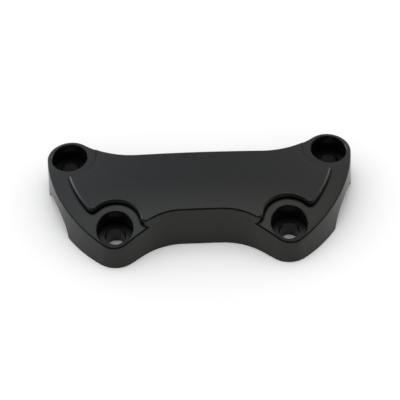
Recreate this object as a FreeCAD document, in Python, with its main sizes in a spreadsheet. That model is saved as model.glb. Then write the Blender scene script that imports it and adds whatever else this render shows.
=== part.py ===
import FreeCAD, Part
import math
import os
from collections import namedtuple
from enum import IntEnum

import Sketcher

# Top half of a motorcycle handlebar clamp, one casting in millimetres.
# X runs along the handlebar, Y from the near bolt row to the far one, Z up.
# The origin lies on the underside, midway between the bolt rows.

SIZES = (
    # Bolt holes
    ("near_bolt_spacing", 72.0),
    ("far_bolt_spacing", 109.6),
    ("bolt_row_spacing", 37.0),
    ("bolt_hole_diameter", 8.4),
    ("counterbore_diameter", 15.0),
    ("counterbore_floor", 8.3),
    ("mouth_chamfer", 0.35),
    # Half-round seat for the bar
    ("bar_diameter", 25.4),
    ("bar_axis_drop", 4.2),
    ("channel_edge_radius", 1.2),
    # Outline at the underside
    ("near_rim_wall", 1.0),
    ("near_rim_drop", 7.425),
    ("far_boss_wall", 2.4),
    ("side_radius", 56.0),
    ("front_wall_offset", 17.4),
    ("front_curve_radius", 28.0),
    ("front_slope", 38.0),
    ("back_wall_offset", 17.7),
    ("back_curve_radius", 35.0),
    # Lean of the cast walls from the underside to the top of the blank
    ("front_lean", 4.0),
    ("side_lean", 0.7),
    ("slope_ease", 6.0),
    ("blank_allowance", 2.4),
    # Crowned surface of the bolt pads and side strips
    ("pad_crown_height", 18.7),
    ("pad_crown_setback", 14.0),
    ("pad_fore_aft_radius", 125.0),
    ("pad_cross_radius", 700.0),
    # Crowned surface and outline of the raised centre panel
    ("panel_raise", 0.9),
    ("panel_crown_setback", 5.0),
    ("panel_fore_aft_radius", 180.0),
    ("panel_cross_radius", 700.0),
    ("near_pad_margin", 3.4),
    ("far_pad_margin", 3.9),
    ("strip_width", 8.4),
    ("panel_nose_offset", 18.7),
    ("panel_nose_radius", 2.0),
    ("panel_corner_radius", 2.2),
    ("panel_root", 4.0),
    # Rounded and broken edges
    ("panel_edge_radius", 1.0),
    ("panel_rim_radius", 0.8),
    ("panel_rim_lift", 0.03),
    ("pad_rim_chamfer", 0.45),
    ("underside_chamfer", 0.3),
    ("hole_chamfer", 0.3),
)

# Sketcher's numbers for the points of a segment, counted from 1
Point = IntEnum("Point", "START END CENTRE")
# A drawn segment, with its points where the outline enters and leaves it
Segment = namedtuple("Segment", "index enter leave")
ORIGIN_POINT = (-1, Point.START)
UP = FreeCAD.Vector(0, 0, 1)
TOLERANCE = 1e-4
# Height of the open space over a crown, as a share of the crown's own height
HEADROOM = 2
# Reach of the panel outline behind the far bolts, as a share of the far pad radius
PANEL_BACK_SHARE = 0.87
# Angle in degrees that carries a crown well past both ends of the part
CROWN_SWEEP = 30

# Expressions for what follows from the sizes
COUNTERBORE_RADIUS = "Sizes.counterbore_diameter / 2"
FAR_BOSS_RADIUS = f"{COUNTERBORE_RADIUS} + Sizes.far_boss_wall"
NEAR_PAD_RADIUS = f"{COUNTERBORE_RADIUS} + Sizes.near_pad_margin"
FAR_PAD_RADIUS = f"{COUNTERBORE_RADIUS} + Sizes.far_pad_margin"
FLANK_RADIUS = "Sizes.side_radius - Sizes.strip_width"
PAD_HEIGHT = "Sizes.pad_crown_height"
PANEL_HEIGHT = "Sizes.pad_crown_height + Sizes.panel_raise"
RIM_HEIGHT = f"{PANEL_HEIGHT} + Sizes.panel_rim_lift"
BLANK_HEIGHT = f"{PANEL_HEIGHT} + Sizes.blank_allowance"
# The near boss keeps a wall round its counterbore at the front rim of the pad, where the wall has leaned in
NEAR_RIM_LEAN = f"Sizes.front_lean * ({PAD_HEIGHT} - Sizes.near_rim_drop) / ({BLANK_HEIGHT})"
NEAR_BOSS_RADIUS = f"{COUNTERBORE_RADIUS} + Sizes.near_rim_wall + {NEAR_RIM_LEAN}"


def make_sheet(doc):
    """Write the driving dimensions into a spreadsheet, one alias for each."""
    sheet = doc.addObject("Spreadsheet::Sheet", "Sizes")
    for row, (alias, value) in enumerate(SIZES, start=1):
        sheet.set(f"A{row}", alias)
        sheet.set(f"B{row}", str(value))
        sheet.setAlias(f"B{row}", alias)
    doc.recompute()
    return sheet


def origin_plane(body, role):
    """Return one of a body's own origin planes."""
    return next(item for item in body.Origin.OriginFeatures if item.Role == role)


def new_sketch(body, name, role):
    """Start a sketch on an origin plane of its body."""
    sketch = body.newObject("Sketcher::SketchObject", name)
    sketch.AttachmentSupport = (origin_plane(body, role), "")
    sketch.MapMode = "FlatFace"
    return sketch


def value_of(item, expression):
    """Evaluate an expression on the sheet as a plain number."""
    return float(item.evalExpression(expression))


def centre_of(segment):
    """Return Sketcher's reference to the centre of an arc or circle."""
    return (segment.index, Point.CENTRE)


def dimension(sketch, expression, kind, *points):
    """Add one dimension to a sketch and bind it to the sheet."""
    index = sketch.addConstraint(Sketcher.Constraint(kind, *points, value_of(sketch, expression)))
    sketch.setExpression(f"Constraints[{index}]", expression)


def locate(sketch, point, axis, sign, expression):
    """Hold a point at a distance from the origin, on the side that the sign gives."""
    first, second = (ORIGIN_POINT, point) if sign > 0 else (point, ORIGIN_POINT)
    dimension(sketch, expression, "Distance" + axis, *first, *second)


def add_line(sketch, start, end, construction=False):
    """Draw a straight segment."""
    line = Part.LineSegment(FreeCAD.Vector(*start, 0), FreeCAD.Vector(*end, 0))
    return Segment(sketch.addGeometry(line, construction), Point.START, Point.END)


def turn_round(segment):
    """Return a segment with its two ends exchanged."""
    return Segment(segment.index, segment.leave, segment.enter)


def add_arc(sketch, centre, start, end, turn):
    """Draw an arc about a centre, counter-clockwise for a positive turn."""
    radius = math.dist(centre, start)
    first, last = (start, end) if turn > 0 else (end, start)
    angle_first = math.atan2(first[1] - centre[1], first[0] - centre[0])
    angle_last = math.atan2(last[1] - centre[1], last[0] - centre[0])
    if angle_last <= angle_first:
        angle_last += 2 * math.pi
    circle = Part.Circle(FreeCAD.Vector(*centre, 0), UP, radius)
    index = sketch.addGeometry(Part.ArcOfCircle(circle, angle_first, angle_last), False)
    segment = Segment(index, Point.START, Point.END)
    return segment if turn > 0 else turn_round(segment)


def whole_circle(sketch, circle):
    """Draw a full circle, which no other segment joins."""
    return Segment(sketch.addGeometry(circle, False), None, None)


def join(sketch, first, second, smooth):
    """Join the end of one segment to the start of the next."""
    kind = "Tangent" if smooth else "Coincident"
    sketch.addConstraint(Sketcher.Constraint(kind, first.index, first.leave, second.index, second.enter))


def toward(point, target, distance):
    """Return the point at a distance from a point in the direction of a target."""
    share = distance / math.dist(point, target)
    return (point[0] + share * (target[0] - point[0]), point[1] + share * (target[1] - point[1]))


def meeting_point(first, first_radius, second, second_radius, hand):
    """Return where two circles cross, on the left of first-to-second for a positive hand."""
    gap = math.dist(first, second)
    along = (first_radius**2 - second_radius**2 + gap**2) / (2 * gap)
    across = hand * math.sqrt(first_radius**2 - along**2)
    step = ((second[0] - first[0]) / gap, (second[1] - first[1]) / gap)
    return (
        first[0] + along * step[0] - across * step[1],
        first[1] + along * step[1] + across * step[0],
    )


def mirror(point, side):
    """Return a point of the right-hand half, or its mirror image for a negative side."""
    return (side * point[0], point[1])


def add_side_arc(sketch, side, centre, start, end, turn):
    """Draw an arc of the right-hand half, or its mirror image for a negative side."""
    return add_arc(sketch, mirror(centre, side), mirror(start, side), mirror(end, side), side * turn)


def hold_bolt_centre(sketch, segment, side, row):
    """Hold an arc's centre on a bolt axis of the near or the far row."""
    centre = centre_of(segment)
    locate(sketch, centre, "X", side, f"Sizes.{row}_bolt_spacing / 2")
    locate(sketch, centre, "Y", 1 if row == "far" else -1, "Sizes.bolt_row_spacing / 2")


def draw_wall_outline(body, name, sheet, lean):
    """Draw the outline of the walls: lean is 0 at the underside and 1 at the top of the blank.

    The flat of the front ends where the hollow beside it turns into a straight run at the slope
    angle, which touches the near boss.
    """
    sketch = new_sketch(body, name, "XY_Plane")
    front_lean = f"- {lean} * Sizes.front_lean"
    side_lean = f"- {lean} * Sizes.side_lean"
    near_radius = f"{NEAR_BOSS_RADIUS} {front_lean}"
    far_radius = f"{FAR_BOSS_RADIUS} {side_lean}"
    front_offset = f"Sizes.front_wall_offset {front_lean}"
    front_radius = f"Sizes.front_curve_radius {front_lean}"
    slope_angle = f"(Sizes.front_slope - {lean} * Sizes.slope_ease)"
    slope_drop = f"cos({slope_angle}) * (Sizes.bolt_row_spacing / 2 - ({front_offset}))"
    slope_foot = f"({near_radius} + {slope_drop}) / sin({slope_angle})"
    hollow_length = f"({front_radius}) * tan({slope_angle} / 2)"
    front_half = f"Sizes.near_bolt_spacing / 2 - {slope_foot} - {hollow_length}"
    back_offset = f"Sizes.back_wall_offset {side_lean}"

    near = (sheet.near_bolt_spacing / 2, -sheet.bolt_row_spacing / 2)
    far = (sheet.far_bolt_spacing / 2, sheet.bolt_row_spacing / 2)
    near_r = value_of(sketch, near_radius)
    far_r = value_of(sketch, far_radius)
    front_r = value_of(sketch, front_radius)
    front_start = (value_of(sketch, front_half), -value_of(sketch, front_offset))
    front_centre = (front_start[0], front_start[1] - front_r)
    side_centre = meeting_point(near, sheet.side_radius - near_r, far, sheet.side_radius - far_r, 1)
    back_y = value_of(sketch, back_offset)
    back_rise = back_y + sheet.back_curve_radius - far[1]
    back_run = math.sqrt((sheet.back_curve_radius + far_r) ** 2 - back_rise**2)
    back_end = (far[0] - back_run, back_y)
    back_centre = (back_end[0], back_y + sheet.back_curve_radius)

    # The straight run between the front hollow and the near boss touches both circles
    heading = math.atan2(near[1] - front_centre[1], near[0] - front_centre[0])
    heading -= math.asin((front_r + near_r) / math.dist(front_centre, near))
    left = (-math.sin(heading), math.cos(heading))
    slope_start = (front_centre[0] + front_r * left[0], front_centre[1] + front_r * left[1])
    slope_end = (near[0] - near_r * left[0], near[1] - near_r * left[1])
    side_start = toward(side_centre, near, sheet.side_radius)
    side_end = toward(side_centre, far, sheet.side_radius)
    back_start = toward(far, back_centre, far_r)

    front = add_line(sketch, mirror(front_start, -1), front_start)
    back = add_line(sketch, mirror(back_end, -1), back_end)
    for side in (1, -1):
        hollow = add_side_arc(sketch, side, front_centre, front_start, slope_start, -1)
        slope = add_line(sketch, mirror(slope_start, side), mirror(slope_end, side))
        near_boss = add_side_arc(sketch, side, near, slope_end, side_start, 1)
        flank = add_side_arc(sketch, side, side_centre, side_start, side_end, 1)
        far_boss = add_side_arc(sketch, side, far, side_end, back_start, 1)
        scoop = add_side_arc(sketch, side, back_centre, back_start, back_end, -1)
        front_end = front if side > 0 else turn_round(front)
        back_join = turn_round(back) if side > 0 else back
        chain = (front_end, hollow, slope, near_boss, flank, far_boss, scoop, back_join)
        for first, second in zip(chain, chain[1:]):
            join(sketch, first, second, smooth=True)
        hold_bolt_centre(sketch, near_boss, side, "near")
        hold_bolt_centre(sketch, far_boss, side, "far")
        dimension(sketch, near_radius, "Radius", near_boss.index)
        dimension(sketch, far_radius, "Radius", far_boss.index)
        dimension(sketch, "Sizes.side_radius", "Radius", flank.index)
        dimension(sketch, front_radius, "Radius", hollow.index)
        dimension(sketch, "Sizes.back_curve_radius", "Radius", scoop.index)
        locate(sketch, (front.index, front_end.leave), "X", side, front_half)
    for line, sign, offset in ((front, -1, front_offset), (back, 1, back_offset)):
        sketch.addConstraint(Sketcher.Constraint("Horizontal", line.index))
        locate(sketch, (line.index, line.leave), "Y", sign, offset)
    return sketch


def draw_crown(body, name, sheet, prefix, height):
    """Draw the space over a crowned surface, with the axis that bends the crown across the part."""
    sketch = new_sketch(body, name, "YZ_Plane")
    setback = getattr(sheet, f"{prefix}_crown_setback")
    bend = getattr(sheet, f"{prefix}_fore_aft_radius")
    cross = getattr(sheet, f"{prefix}_cross_radius")
    crest = value_of(sketch, height)
    reach = sheet.bolt_row_spacing
    roof = HEADROOM * crest
    centre = (setback, crest - bend)
    ends = [(y, centre[1] + math.sqrt(bend**2 - (y - setback) ** 2)) for y in (-reach, reach)]

    crown = add_arc(sketch, centre, ends[1], ends[0], 1)
    near_side = add_line(sketch, ends[0], (-reach, roof))
    lid = add_line(sketch, (-reach, roof), (reach, roof))
    far_side = add_line(sketch, (reach, roof), ends[1])
    loop = (crown, near_side, lid, far_side, crown)
    for first, second in zip(loop, loop[1:]):
        join(sketch, first, second, smooth=False)
    axis = add_line(sketch, (-reach, crest - cross), (reach, crest - cross), construction=True)

    for segment in (near_side, far_side):
        sketch.addConstraint(Sketcher.Constraint("Vertical", segment.index))
    for segment in (lid, axis):
        sketch.addConstraint(Sketcher.Constraint("Horizontal", segment.index))
        locate(sketch, (segment.index, segment.enter), "X", -1, "Sizes.bolt_row_spacing")
        locate(sketch, (segment.index, segment.leave), "X", 1, "Sizes.bolt_row_spacing")
    dimension(sketch, f"Sizes.{prefix}_fore_aft_radius", "Radius", crown.index)
    locate(sketch, centre_of(crown), "X", 1, f"Sizes.{prefix}_crown_setback")
    locate(sketch, centre_of(crown), "Y", -1, f"Sizes.{prefix}_fore_aft_radius - ({height})")
    locate(sketch, (lid.index, lid.enter), "Y", 1, f"{HEADROOM} * ({height})")
    locate(sketch, (axis.index, axis.enter), "Y", -1, f"Sizes.{prefix}_cross_radius - ({height})")
    return sketch


def draw_panel(body, name, sheet):
    """Draw the raised panel in plan: it is scooped round all four bolt pads."""
    sketch = new_sketch(body, name, "XY_Plane")
    sketch.setExpression("AttachmentOffset.Base.z", "Sizes.panel_root")
    back_offset = f"Sizes.bolt_row_spacing / 2 + {PANEL_BACK_SHARE} * ({FAR_PAD_RADIUS})"

    near = (sheet.near_bolt_spacing / 2, -sheet.bolt_row_spacing / 2)
    far = (sheet.far_bolt_spacing / 2, sheet.bolt_row_spacing / 2)
    near_r = value_of(sketch, NEAR_PAD_RADIUS)
    far_r = value_of(sketch, FAR_PAD_RADIUS)
    flank_r = value_of(sketch, FLANK_RADIUS)
    near_reach = value_of(sketch, f"Sizes.side_radius - ({NEAR_BOSS_RADIUS})")
    far_reach = value_of(sketch, f"Sizes.side_radius - ({FAR_BOSS_RADIUS})")
    flank_centre = meeting_point(near, near_reach, far, far_reach, 1)
    nose_r = sheet.panel_nose_radius
    nose_y = -sheet.panel_nose_offset
    nose_rise = nose_y + nose_r - near[1]
    nose_run = math.sqrt((near_r + nose_r) ** 2 - nose_rise**2)
    nose_centre = (near[0] - nose_run, nose_y + nose_r)
    nose_start = (nose_centre[0], nose_y)
    nose_end = toward(nose_centre, near, nose_r)
    corner_r = sheet.panel_corner_radius
    corner_centre = meeting_point(near, near_r + corner_r, flank_centre, flank_r - corner_r, -1)
    corner_start = toward(near, corner_centre, near_r)
    corner_end = toward(flank_centre, corner_centre, flank_r)
    far_corner = meeting_point(far, far_r, flank_centre, flank_r, 1)
    back_y = value_of(sketch, back_offset)
    back_end = (far[0] - math.sqrt(far_r**2 - (back_y - far[1]) ** 2), back_y)

    front = add_line(sketch, mirror(nose_start, -1), nose_start)
    back = add_line(sketch, mirror(back_end, -1), back_end)
    for side in (1, -1):
        nose = add_side_arc(sketch, side, nose_centre, nose_start, nose_end, 1)
        near_scoop = add_side_arc(sketch, side, near, nose_end, corner_start, -1)
        corner = add_side_arc(sketch, side, corner_centre, corner_start, corner_end, 1)
        flank = add_side_arc(sketch, side, flank_centre, corner_end, far_corner, 1)
        far_scoop = add_side_arc(sketch, side, far, far_corner, back_end, -1)
        front_end = front if side > 0 else turn_round(front)
        back_join = turn_round(back) if side > 0 else back
        smooth_chain = (front_end, nose, near_scoop, corner, flank)
        for first, second in zip(smooth_chain, smooth_chain[1:]):
            join(sketch, first, second, smooth=True)
        join(sketch, flank, far_scoop, smooth=False)
        join(sketch, far_scoop, back_join, smooth=False)
        hold_bolt_centre(sketch, near_scoop, side, "near")
        hold_bolt_centre(sketch, far_scoop, side, "far")
        dimension(sketch, NEAR_PAD_RADIUS, "Radius", near_scoop.index)
        dimension(sketch, FAR_PAD_RADIUS, "Radius", far_scoop.index)
        dimension(sketch, "Sizes.panel_nose_radius", "Radius", nose.index)
        dimension(sketch, "Sizes.panel_corner_radius", "Radius", corner.index)
        dimension(sketch, FLANK_RADIUS, "Radius", flank.index)
        for scoop, boss_radius in ((near_scoop, NEAR_BOSS_RADIUS), (far_scoop, FAR_BOSS_RADIUS)):
            reach = f"Sizes.side_radius - ({boss_radius})"
            dimension(sketch, reach, "Distance", *centre_of(flank), *centre_of(scoop))
    for line, sign, offset in ((front, -1, "Sizes.panel_nose_offset"), (back, 1, back_offset)):
        sketch.addConstraint(Sketcher.Constraint("Horizontal", line.index))
        locate(sketch, (line.index, line.leave), "Y", sign, offset)
    return sketch


def draw_bolt_circles(body, name, sheet, diameter):
    """Draw one circle on each of the four bolt axes."""
    sketch = new_sketch(body, name, "XY_Plane")
    radius = getattr(sheet, diameter) / 2
    for row, y_side in (("near", -1), ("far", 1)):
        for side in (1, -1):
            x = side * getattr(sheet, f"{row}_bolt_spacing") / 2
            y = y_side * sheet.bolt_row_spacing / 2
            circle = Part.Circle(FreeCAD.Vector(x, y, 0), UP, radius)
            segment = whole_circle(sketch, circle)
            hold_bolt_centre(sketch, segment, side, row)
            dimension(sketch, f"Sizes.{diameter}", "Diameter", segment.index)
    return sketch


def draw_bar(body, name, sheet):
    """Draw the section of the handlebar that lies in the clamp."""
    sketch = new_sketch(body, name, "YZ_Plane")
    circle = Part.Circle(FreeCAD.Vector(0, -sheet.bar_axis_drop, 0), UP, sheet.bar_diameter / 2)
    bar = whole_circle(sketch, circle)
    sketch.addConstraint(Sketcher.Constraint("Vertical", *ORIGIN_POINT, *centre_of(bar)))
    locate(sketch, centre_of(bar), "Y", -1, "Sizes.bar_axis_drop")
    dimension(sketch, "Sizes.bar_diameter", "Diameter", bar.index)
    return sketch


def revolve_crown(body, kind, name, sketch):
    """Sweep a crown profile about its own axis, across the whole part."""
    feature = body.newObject(f"PartDesign::{kind}", name)
    feature.Profile = sketch
    feature.ReferenceAxis = (sketch, ["Axis0"])
    feature.Angle = CROWN_SWEEP
    feature.Midplane = True
    return feature


def pocket_through(body, name, sketch, symmetric=False):
    """Cut a sketch upward through the whole part, or both ways along its normal."""
    feature = body.newObject("PartDesign::Pocket", name)
    feature.Profile = sketch
    feature.Type = "ThroughAll"
    feature.SideType = "Symmetric" if symmetric else "One side"
    feature.Reversed = not symmetric
    return feature


def edges_where(shape, keep):
    """Name the edges whose pair of neighbouring faces passes a test."""
    names = []
    for number, edge in enumerate(shape.Edges, start=1):
        faces = shape.ancestorsOfType(edge, Part.Face)
        if len(faces) == 2 and keep(edge, faces):
            names.append(f"Edge{number}")
    return names


def between(first_test, second_test):
    """Return a test for an edge between two kinds of face."""

    def keep(_edge, faces):
        first, second = faces
        return (first_test(first) and second_test(second)) or (first_test(second) and second_test(first))

    return keep


def is_crown(bend):
    """Return a test for the crowned face with this fore-and-aft radius."""
    return lambda face: isinstance(face.Surface, Part.Toroid) and same(face.Surface.MinorRadius, bend)


def is_upright(face):
    """Tell whether a face is part of a cylinder that stands on end."""
    return isinstance(face.Surface, Part.Cylinder) and same(abs(face.Surface.Axis.z), 1)


def is_round(radius):
    """Return a test for an upright round wall with this radius."""
    return lambda face: is_upright(face) and same(face.Surface.Radius, radius)


def is_level(height):
    """Return a test for a flat face at this height."""

    def keep(face):
        return isinstance(face.Surface, Part.Plane) and all(same(v.Z, height) for v in face.Vertexes)

    return keep


def is_wall(face):
    """Tell whether a face is one of the leaning outer walls, which stand on the underside."""
    return isinstance(face.Surface, Part.BSplineSurface) and any(same(v.Z, 0) for v in face.Vertexes)


def is_channel(face):
    """Tell whether a face is the round seat of the bar."""
    return isinstance(face.Surface, Part.Cylinder) and same(abs(face.Surface.Axis.x), 1)


def same(first, second):
    """Compare two sizes."""
    return abs(first - second) < TOLERANCE


def combine(body, kind, name, other):
    """Join a body with another one by a boolean operation."""
    feature = body.newObject("PartDesign::Boolean", name)
    feature.Type = kind
    feature.setObjects([other])
    body.Document.recompute()
    return feature


def dress(body, kind, name, base, edges, size):
    """Round or chamfer edges of a feature by a size from the sheet."""
    feature = body.newObject(f"PartDesign::{kind}", name)
    feature.Base = (base, edges)
    feature.setExpression("Radius" if kind == "Fillet" else "Size", f"Sizes.{size}")
    body.Document.recompute()
    return feature


def build_crowned_blank(body, sheet, prefix, height, rim_kind, rim_size):
    """Make the casting with leaning walls under one of the two crowns, and break its rim."""
    foot = draw_wall_outline(body, f"{prefix}_underside_outline", sheet, 0)
    head = draw_wall_outline(body, f"{prefix}_blank_top_outline", sheet, 1)
    head.setExpression("AttachmentOffset.Base.z", BLANK_HEIGHT)
    blank = body.newObject("PartDesign::AdditiveLoft", f"{prefix}_blank")
    blank.Profile = foot
    blank.Sections = [head]
    blank.Ruled = True
    body.Document.recompute()

    crown = draw_crown(body, f"{prefix}_crown", sheet, prefix, height)
    crowned = revolve_crown(body, "Groove", f"{prefix}_top", crown)
    body.Document.recompute()
    is_top = is_crown(getattr(sheet, f"{prefix}_fore_aft_radius"))
    rim = edges_where(crowned.Shape, between(is_top, is_wall))
    return dress(body, rim_kind, f"{prefix}_rim", crowned, rim, rim_size)


def build_panel_block(doc, sheet):
    """Make a block with the panel's outline and crown; its edge over the shallow far scoops stays crisp."""
    body = doc.addObject("PartDesign::Body", "panel_block")
    block = body.newObject("PartDesign::Pad", "panel_prism")
    block.Profile = draw_panel(body, "block_outline", sheet)
    block.setExpression("Length", BLANK_HEIGHT)
    doc.recompute()
    crown = draw_crown(body, "block_crown", sheet, "panel", PANEL_HEIGHT)
    crowned = revolve_crown(body, "Groove", "block_top", crown)
    doc.recompute()

    is_top = is_crown(sheet.panel_fore_aft_radius)
    is_far_scoop = is_round(value_of(sheet, FAR_PAD_RADIUS))

    def is_step(face):
        return is_upright(face) and not is_far_scoop(face)

    steps = edges_where(crowned.Shape, between(is_top, is_step))
    dress(body, "Fillet", "panel_edge", crowned, steps, "panel_edge_radius")
    return body


def build_centre_panel(doc, sheet):
    """Make the raised panel: the part of the higher casting that lies inside the panel's outline.

    The casting's crown is a hair over the panel's own crown, so the two surfaces do not coincide.
    """
    body = doc.addObject("PartDesign::Body", "centre_panel")
    build_crowned_blank(body, sheet, "panel", RIM_HEIGHT, "Fillet", "panel_rim_radius")
    combine(body, "Common", "panel_inside", build_panel_block(doc, sheet))
    return body


def build_clamp(doc, sheet):
    """Make the clamp: low casting with bolt pads, raised panel, bar seat and bolt holes."""
    body = doc.addObject("PartDesign::Body", "handlebar_clamp")
    build_crowned_blank(body, sheet, "pad", PAD_HEIGHT, "Chamfer", "pad_rim_chamfer")
    pocket_through(body, "panel_space", draw_panel(body, "panel_outline", sheet))
    doc.recompute()
    combine(body, "Fuse", "with_panel", build_centre_panel(doc, sheet))

    is_underside = is_level(0)
    seat = pocket_through(body, "bar_seat", draw_bar(body, "bar_section", sheet), symmetric=True)
    doc.recompute()
    lips = edges_where(seat.Shape, between(is_underside, is_channel))
    channel = dress(body, "Fillet", "channel_lips", seat, lips, "channel_edge_radius")
    outline = edges_where(channel.Shape, between(is_underside, is_wall))
    dress(body, "Chamfer", "underside_edge", channel, outline, "underside_chamfer")

    pocket_through(body, "bolt_holes", draw_bolt_circles(body, "bolt_axes", sheet, "bolt_hole_diameter"))
    doc.recompute()
    seats = draw_bolt_circles(body, "bolt_seats", sheet, "counterbore_diameter")
    seats.setExpression("AttachmentOffset.Base.z", "Sizes.counterbore_floor")
    bored = pocket_through(body, "counterbores", seats)
    doc.recompute()
    is_pad = is_crown(sheet.pad_fore_aft_radius)
    is_counterbore = is_round(sheet.counterbore_diameter / 2)
    mouths = edges_where(bored.Shape, between(is_pad, is_counterbore))
    broken = dress(body, "Chamfer", "counterbore_mouths", bored, mouths, "mouth_chamfer")
    is_hole = is_round(sheet.bolt_hole_diameter / 2)
    ends = edges_where(broken.Shape, between(is_hole, lambda face: isinstance(face.Surface, Part.Plane)))
    dress(body, "Chamfer", "hole_ends", broken, ends, "hole_chamfer")
    return body


def check_document(doc):
    """Stop if any object failed or any shape is missing or not valid."""
    for item in doc.Objects:
        if {"Invalid", "Error"} & set(item.State):
            raise RuntimeError(f"{item.Label} failed: {item.State}")
        if hasattr(item, "Shape") and item.isDerivedFrom("PartDesign::Feature"):
            if item.Shape.isNull() or not item.Shape.isValid():
                raise RuntimeError(f"{item.Label} has no valid shape")


def main():
    doc = FreeCAD.newDocument("handlebar_clamp")
    sheet = make_sheet(doc)
    clamp = build_clamp(doc, sheet)
    check_document(doc)
    os.makedirs("parts", exist_ok=True)
    clamp.Shape.exportStep(f"parts/{clamp.Label}.step")


main()
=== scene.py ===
import math

import bpy
from mathutils import Matrix, Vector


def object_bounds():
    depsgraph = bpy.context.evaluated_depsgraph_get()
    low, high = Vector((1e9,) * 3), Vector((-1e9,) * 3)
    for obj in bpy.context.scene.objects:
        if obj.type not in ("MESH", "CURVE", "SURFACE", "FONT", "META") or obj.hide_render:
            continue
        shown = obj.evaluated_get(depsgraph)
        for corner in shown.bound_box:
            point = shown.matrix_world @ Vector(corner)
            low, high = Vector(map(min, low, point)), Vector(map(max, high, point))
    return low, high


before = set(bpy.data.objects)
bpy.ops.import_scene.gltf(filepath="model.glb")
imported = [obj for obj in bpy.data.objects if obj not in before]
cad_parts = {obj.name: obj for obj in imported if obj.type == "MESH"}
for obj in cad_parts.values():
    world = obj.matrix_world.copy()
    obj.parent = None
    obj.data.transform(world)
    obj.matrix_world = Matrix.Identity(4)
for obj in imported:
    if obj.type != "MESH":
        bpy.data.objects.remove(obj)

# Top half of a motorcycle handlebar clamp in satin black paint, on a white studio floor.
# Metres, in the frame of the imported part: X along the bar, Y away from the camera, Z up.

CAD_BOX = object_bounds()
CLAMP = "handlebar_clamp"

# Camera of the photograph, worked out from the four bolt holes
VIEW_ELEVATION = math.radians(49.95)
VIEW_YAW = math.radians(0.81)
VIEW_ROLL = math.radians(1.36)
VIEW_DISTANCE = 0.820
VIEW_SHIFT_RIGHT = 0.0005
VIEW_SHIFT_DOWN = 0.0049
SENSOR_WIDTH = 36.0
FOCAL_LENGTH = 174.3

# White floor: the eye and the reflections see it whiter than the light that it throws back
FLOOR_HALF_WIDTH = 3.0
FLOOR_GAP = 0.00002
FLOOR_COLOUR = (0.90, 0.90, 0.90, 1.0)
FLOOR_SEEN = (1.05, 1.05, 1.05, 1.0)

# Soft light of the white room, a little stronger from the left
ROOM_LIGHT = 0.97
LEFT_LIGHT = (1.06, 1.06, 1.06, 1.0)
RIGHT_LIGHT = (0.85, 0.85, 0.85, 1.0)
TINT_REACH = 0.5

# The room that the eye and reflections see: cool on the left and warm on the right,
# with a dark camera side, a dim horizon and two bright back corners
ROOM_REFLECTED = 0.79
COOL_LIGHT = (1.00, 1.08, 1.26, 1.0)
WARM_LIGHT = (0.80, 0.79, 0.78, 1.0)
CAMERA_SIDE = (0.0, -0.866, 0.5)
CAMERA_SIDE_EDGE = math.radians(66.0)
CAMERA_SIDE_CORE = math.radians(45.0)
CAMERA_SIDE_DARK = 0.93
CAMERA_SIDE_DIM = 0.18
HORIZON_LOW = 0.04
HORIZON_HIGH = 0.26
HORIZON_LEVEL = 0.1
LEFT_CORNER = (-0.64, 0.62, 0.45)
RIGHT_CORNER = (0.64, 0.62, 0.45)
CORNER_EDGE = math.radians(31.0)
CORNER_CORE = math.radians(12.0)
LEFT_GLOW = 4.2
RIGHT_GLOW = 3.4

# Two soft boxes side by side over the part and a little behind it, the left one cooler:
# name, place across, power in watts and colour
BOX_HEIGHT = 1.1
BOX_WIDTH = 0.30
BOX_DEPTH = 0.8
BOX_BACK = 0.22
BOXES = (
    ("left_soft_box", -0.15, 1.10, (0.94, 0.99, 1.05)),
    ("right_soft_box", 0.15, 0.92, (1.03, 1.0, 0.94)),
)

# Satin paint, with painted shade in sharp inner corners, where an occlusion mask cuts its sheen
PAINT_COLOUR_LOW = (0.0014, 0.0014, 0.0015, 1.0)
PAINT_COLOUR_HIGH = (0.0030, 0.0030, 0.0031, 1.0)
PAINT_SPECULAR = 0.335
PAINT_TINT = (1.0, 1.0, 0.93, 1.0)
PAINT_ROUGHNESS_LOW = 0.25
PAINT_ROUGHNESS_HIGH = 0.31
CREASE_SHADE_REACH = 0.0014
CREASE_SHADE_DEEP = 0.62
CREASE_SHADE_OPEN = 0.92
CREASE_SHADE_SPECULAR = 0.04

# Texture of the paint: sizes in millimetres, depth in metres
MILLIMETRES_PER_METRE = 1000.0
CLOUD_SIZE = 8.0
CLOUD_DETAIL = 3.0
SHEEN_SIZE = 1.7
SHEEN_DETAIL = 4.0
PEEL_SIZE = 0.45
PEEL_DETAIL = 2.0
PEEL_STRENGTH = 0.06
PEEL_DEPTH = 0.00006


def combine(tree, operation, first, second):
    """Add a math node; each of its two values is a number or a socket. Return its result."""
    node = tree.nodes.new("ShaderNodeMath")
    node.operation = operation
    for value, socket in zip((first, second), node.inputs):
        if isinstance(value, (int, float)):
            socket.default_value = value
        else:
            tree.links.new(value, socket)
    return node.outputs["Value"]


def blend(tree, share, first, second):
    """Add a mix of two colours, each a value or a socket, by the share of the second. Return its result."""
    mix = tree.nodes.new("ShaderNodeMix")
    mix.data_type = "RGBA"
    mix.clamp_result = False
    tree.links.new(share, mix.inputs["Factor"])
    for colour, socket in ((first, mix.inputs["A"]), (second, mix.inputs["B"])):
        if isinstance(colour, tuple):
            socket.default_value = colour
        else:
            tree.links.new(colour, socket)
    return mix.outputs["Result"]


def ramp(tree, value, low, high, start=0.0, end=1.0, kind="LINEAR"):
    """Map a socket from the range low to high onto start to end, held at both ends. Return its result."""
    node = tree.nodes.new("ShaderNodeMapRange")
    node.interpolation_type = kind
    node.inputs["From Min"].default_value = low
    node.inputs["From Max"].default_value = high
    node.inputs["To Min"].default_value = start
    node.inputs["To Max"].default_value = end
    tree.links.new(value, node.inputs["Value"])
    return node.outputs["Result"]


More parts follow.
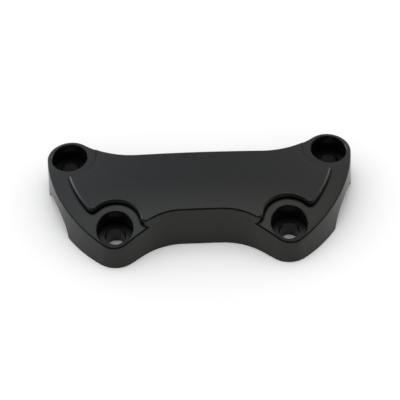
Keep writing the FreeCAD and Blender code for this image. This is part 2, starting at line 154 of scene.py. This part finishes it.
def seen_directly(tree):
    """Return a socket that is 1 for rays to the eye, to a reflection or through a clear piece, else 0."""
    path = tree.nodes.new("ShaderNodeLightPath")
    mirrored = combine(tree, "MAXIMUM", path.outputs["Is Camera Ray"], path.outputs["Is Glossy Ray"])
    return combine(tree, "MAXIMUM", mirrored, path.outputs["Is Transmission Ray"])


def floor_paper():
    """White paper that keeps the shadow and looks white where nothing shades it."""
    material = bpy.data.materials.new("floor_paper")
    material.use_nodes = True
    tree = material.node_tree
    tree.nodes.clear()
    paper = tree.nodes.new("ShaderNodeBsdfDiffuse")
    out = tree.nodes.new("ShaderNodeOutputMaterial")
    tree.links.new(blend(tree, seen_directly(tree), FLOOR_COLOUR, FLOOR_SEEN), paper.inputs["Color"])
    tree.links.new(paper.outputs["BSDF"], out.inputs["Surface"])
    return material


def build_floor():
    """Lay a flat square under the part, wide enough to fill the views from above."""
    level = CAD_BOX[0].z - FLOOR_GAP
    reach = FLOOR_HALF_WIDTH
    corners = [(-reach, -reach, level), (reach, -reach, level), (reach, reach, level), (-reach, reach, level)]
    mesh = bpy.data.meshes.new("studio_floor")
    mesh.from_pydata(corners, [], [(0, 1, 2, 3)])
    floor = bpy.data.objects.new("studio_floor", mesh)
    bpy.context.scene.collection.objects.link(floor)
    mesh.materials.append(floor_paper())


def patch(tree, direction, middle, edge, core):
    """Return a socket that is 1 within the core angle of a direction, fading to 0 at the edge angle."""
    closeness = tree.nodes.new("ShaderNodeVectorMath")
    closeness.operation = "DOT_PRODUCT"
    closeness.inputs[1].default_value = Vector(middle).normalized()
    tree.links.new(direction, closeness.inputs[0])
    return ramp(tree, closeness.outputs["Value"], math.cos(edge), math.cos(core), kind="SMOOTHSTEP")


def dim(tree, level, shade, share):
    """Take the given share of a level away where the shade is 1."""
    kept = combine(tree, "SUBTRACT", 1.0, combine(tree, "MULTIPLY", shade, share))
    return combine(tree, "MULTIPLY", level, kept)


def room_level(tree, direction, height):
    """Return the strength of the room: even for soft light, and shaped by its sides for reflections."""
    camera_side = patch(tree, direction, CAMERA_SIDE, CAMERA_SIDE_EDGE, CAMERA_SIDE_CORE)
    left = patch(tree, direction, LEFT_CORNER, CORNER_EDGE, CORNER_CORE)
    right = patch(tree, direction, RIGHT_CORNER, CORNER_EDGE, CORNER_CORE)
    glow = combine(tree, "ADD", combine(tree, "MULTIPLY", left, LEFT_GLOW),
                   combine(tree, "MULTIPLY", right, RIGHT_GLOW))
    horizon = ramp(tree, height, HORIZON_LOW, HORIZON_HIGH, start=HORIZON_LEVEL, kind="SMOOTHSTEP")
    reflected = dim(tree, combine(tree, "ADD", glow, ROOM_REFLECTED), camera_side, CAMERA_SIDE_DARK)
    reflected = combine(tree, "MULTIPLY", reflected, horizon)
    soft = dim(tree, ROOM_LIGHT, camera_side, CAMERA_SIDE_DIM)

    level = tree.nodes.new("ShaderNodeMix")
    tree.links.new(seen_directly(tree), level.inputs["Factor"])
    tree.links.new(soft, level.inputs["A"])
    tree.links.new(reflected, level.inputs["B"])
    return level.outputs["Result"]


def room_tint(tree, across):
    """Return the colour of the room: stronger from the left; in reflections cool there, warm opposite."""
    share = ramp(tree, across, -TINT_REACH, TINT_REACH)
    soft = blend(tree, share, LEFT_LIGHT, RIGHT_LIGHT)
    reflected = blend(tree, share, COOL_LIGHT, WARM_LIGHT)
    return blend(tree, seen_directly(tree), soft, reflected)


def light_room():
    """Light the part from a white room, which the eye sees as reflections do."""
    world = bpy.data.worlds.new("white_room")
    bpy.context.scene.world = world
    world.use_nodes = True
    tree = world.node_tree
    tree.nodes.clear()

    direction = tree.nodes.new("ShaderNodeTexCoord").outputs["Generated"]
    axes = tree.nodes.new("ShaderNodeSeparateXYZ")
    room = tree.nodes.new("ShaderNodeBackground")
    out = tree.nodes.new("ShaderNodeOutputWorld")
    tree.links.new(direction, axes.inputs["Vector"])
    tree.links.new(room_tint(tree, axes.outputs["X"]), room.inputs["Color"])
    tree.links.new(room_level(tree, direction, axes.outputs["Z"]), room.inputs["Strength"])
    tree.links.new(room.outputs["Background"], out.inputs["Surface"])


def hang_soft_boxes():
    """Hang the soft boxes overhead, facing straight down."""
    for name, across, power, colour in BOXES:
        lamp = bpy.data.lights.new(name, "AREA")
        lamp.shape = "RECTANGLE"
        lamp.size = BOX_WIDTH
        lamp.size_y = BOX_DEPTH
        lamp.energy = power
        lamp.color = colour
        box = bpy.data.objects.new(name, lamp)
        box.location = (across, BOX_BACK, BOX_HEIGHT)
        bpy.context.scene.collection.objects.link(box)


def set_camera():
    """Place the camera from its elevation, yaw and roll, at a set distance from the origin."""
    forward = Vector((0.0, math.cos(VIEW_ELEVATION), -math.sin(VIEW_ELEVATION)))
    level_right = Vector((1.0, 0.0, 0.0))
    level_up = level_right.cross(forward)
    right = math.cos(VIEW_ROLL) * level_right - math.sin(VIEW_ROLL) * level_up
    up = math.sin(VIEW_ROLL) * level_right + math.cos(VIEW_ROLL) * level_up
    turn = Matrix.Rotation(-VIEW_YAW, 3, "Z")
    right, up, forward = turn @ right, turn @ up, turn @ forward

    lens = bpy.data.cameras.new("camera")
    lens.sensor_width = SENSOR_WIDTH
    lens.lens = FOCAL_LENGTH
    camera = bpy.data.objects.new("camera", lens)
    place = Matrix((right, up, -forward)).transposed().to_4x4()
    place.translation = VIEW_SHIFT_DOWN * up - VIEW_SHIFT_RIGHT * right - VIEW_DISTANCE * forward
    camera.matrix_world = place
    bpy.context.scene.collection.objects.link(camera)
    bpy.context.scene.camera = camera


def add_noise(tree, place, size, detail):
    """Add a noise whose features are about the given size, in millimetres, and return its value."""
    noise = tree.nodes.new("ShaderNodeTexNoise")
    noise.inputs["Scale"].default_value = 1.0 / size
    noise.inputs["Detail"].default_value = detail
    tree.links.new(place, noise.inputs["Vector"])
    return noise.outputs["Fac"]


def satin_paint():
    """Satin black paint: faint cloudiness, uneven sheen, painted shade in inner corners (sheen cut by
    occlusion) and a fine orange peel.
    """
    material = bpy.data.materials.new("satin_black_paint")
    material.use_nodes = True
    tree = material.node_tree
    paint = tree.nodes["Principled BSDF"]
    paint.inputs["Specular Tint"].default_value = PAINT_TINT

    place = tree.nodes.new("ShaderNodeTexCoord")
    scale = tree.nodes.new("ShaderNodeMapping")
    scale.inputs["Scale"].default_value = (MILLIMETRES_PER_METRE,) * 3
    tree.links.new(place.outputs["Object"], scale.inputs["Vector"])
    grain = scale.outputs["Vector"]

    clouds = add_noise(tree, grain, CLOUD_SIZE, CLOUD_DETAIL)
    tree.links.new(blend(tree, clouds, PAINT_COLOUR_LOW, PAINT_COLOUR_HIGH), paint.inputs["Base Color"])

    uneven = add_noise(tree, grain, SHEEN_SIZE, SHEEN_DETAIL)
    rough = ramp(tree, uneven, 0.0, 1.0, PAINT_ROUGHNESS_LOW, PAINT_ROUGHNESS_HIGH)
    tree.links.new(rough, paint.inputs["Roughness"])

    # Painted shade: ambient occlusion within a short reach cuts the specular sheen in sharp inner corners and
    # creases
    crease_shade = tree.nodes.new("ShaderNodeAmbientOcclusion")
    crease_shade.only_local = True
    crease_shade.inputs["Distance"].default_value = CREASE_SHADE_REACH
    sheen_with_painted_shade = ramp(tree, crease_shade.outputs["AO"], CREASE_SHADE_DEEP, CREASE_SHADE_OPEN, CREASE_SHADE_SPECULAR, PAINT_SPECULAR)
    tree.links.new(sheen_with_painted_shade, paint.inputs["Specular IOR Level"])

    bump = tree.nodes.new("ShaderNodeBump")
    bump.inputs["Strength"].default_value = PEEL_STRENGTH
    bump.inputs["Distance"].default_value = PEEL_DEPTH
    tree.links.new(add_noise(tree, grain, PEEL_SIZE, PEEL_DETAIL), bump.inputs["Height"])
    tree.links.new(bump.outputs["Normal"], paint.inputs["Normal"])
    return material


def paint_clamp():
    """Give the casting its paint."""
    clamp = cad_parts[CLAMP]
    clamp.data.materials.clear()
    clamp.data.materials.append(satin_paint())


build_floor()
light_room()
hang_soft_boxes()
set_camera()
paint_clamp()
bpy.context.scene.view_settings.view_transform = "Standard"
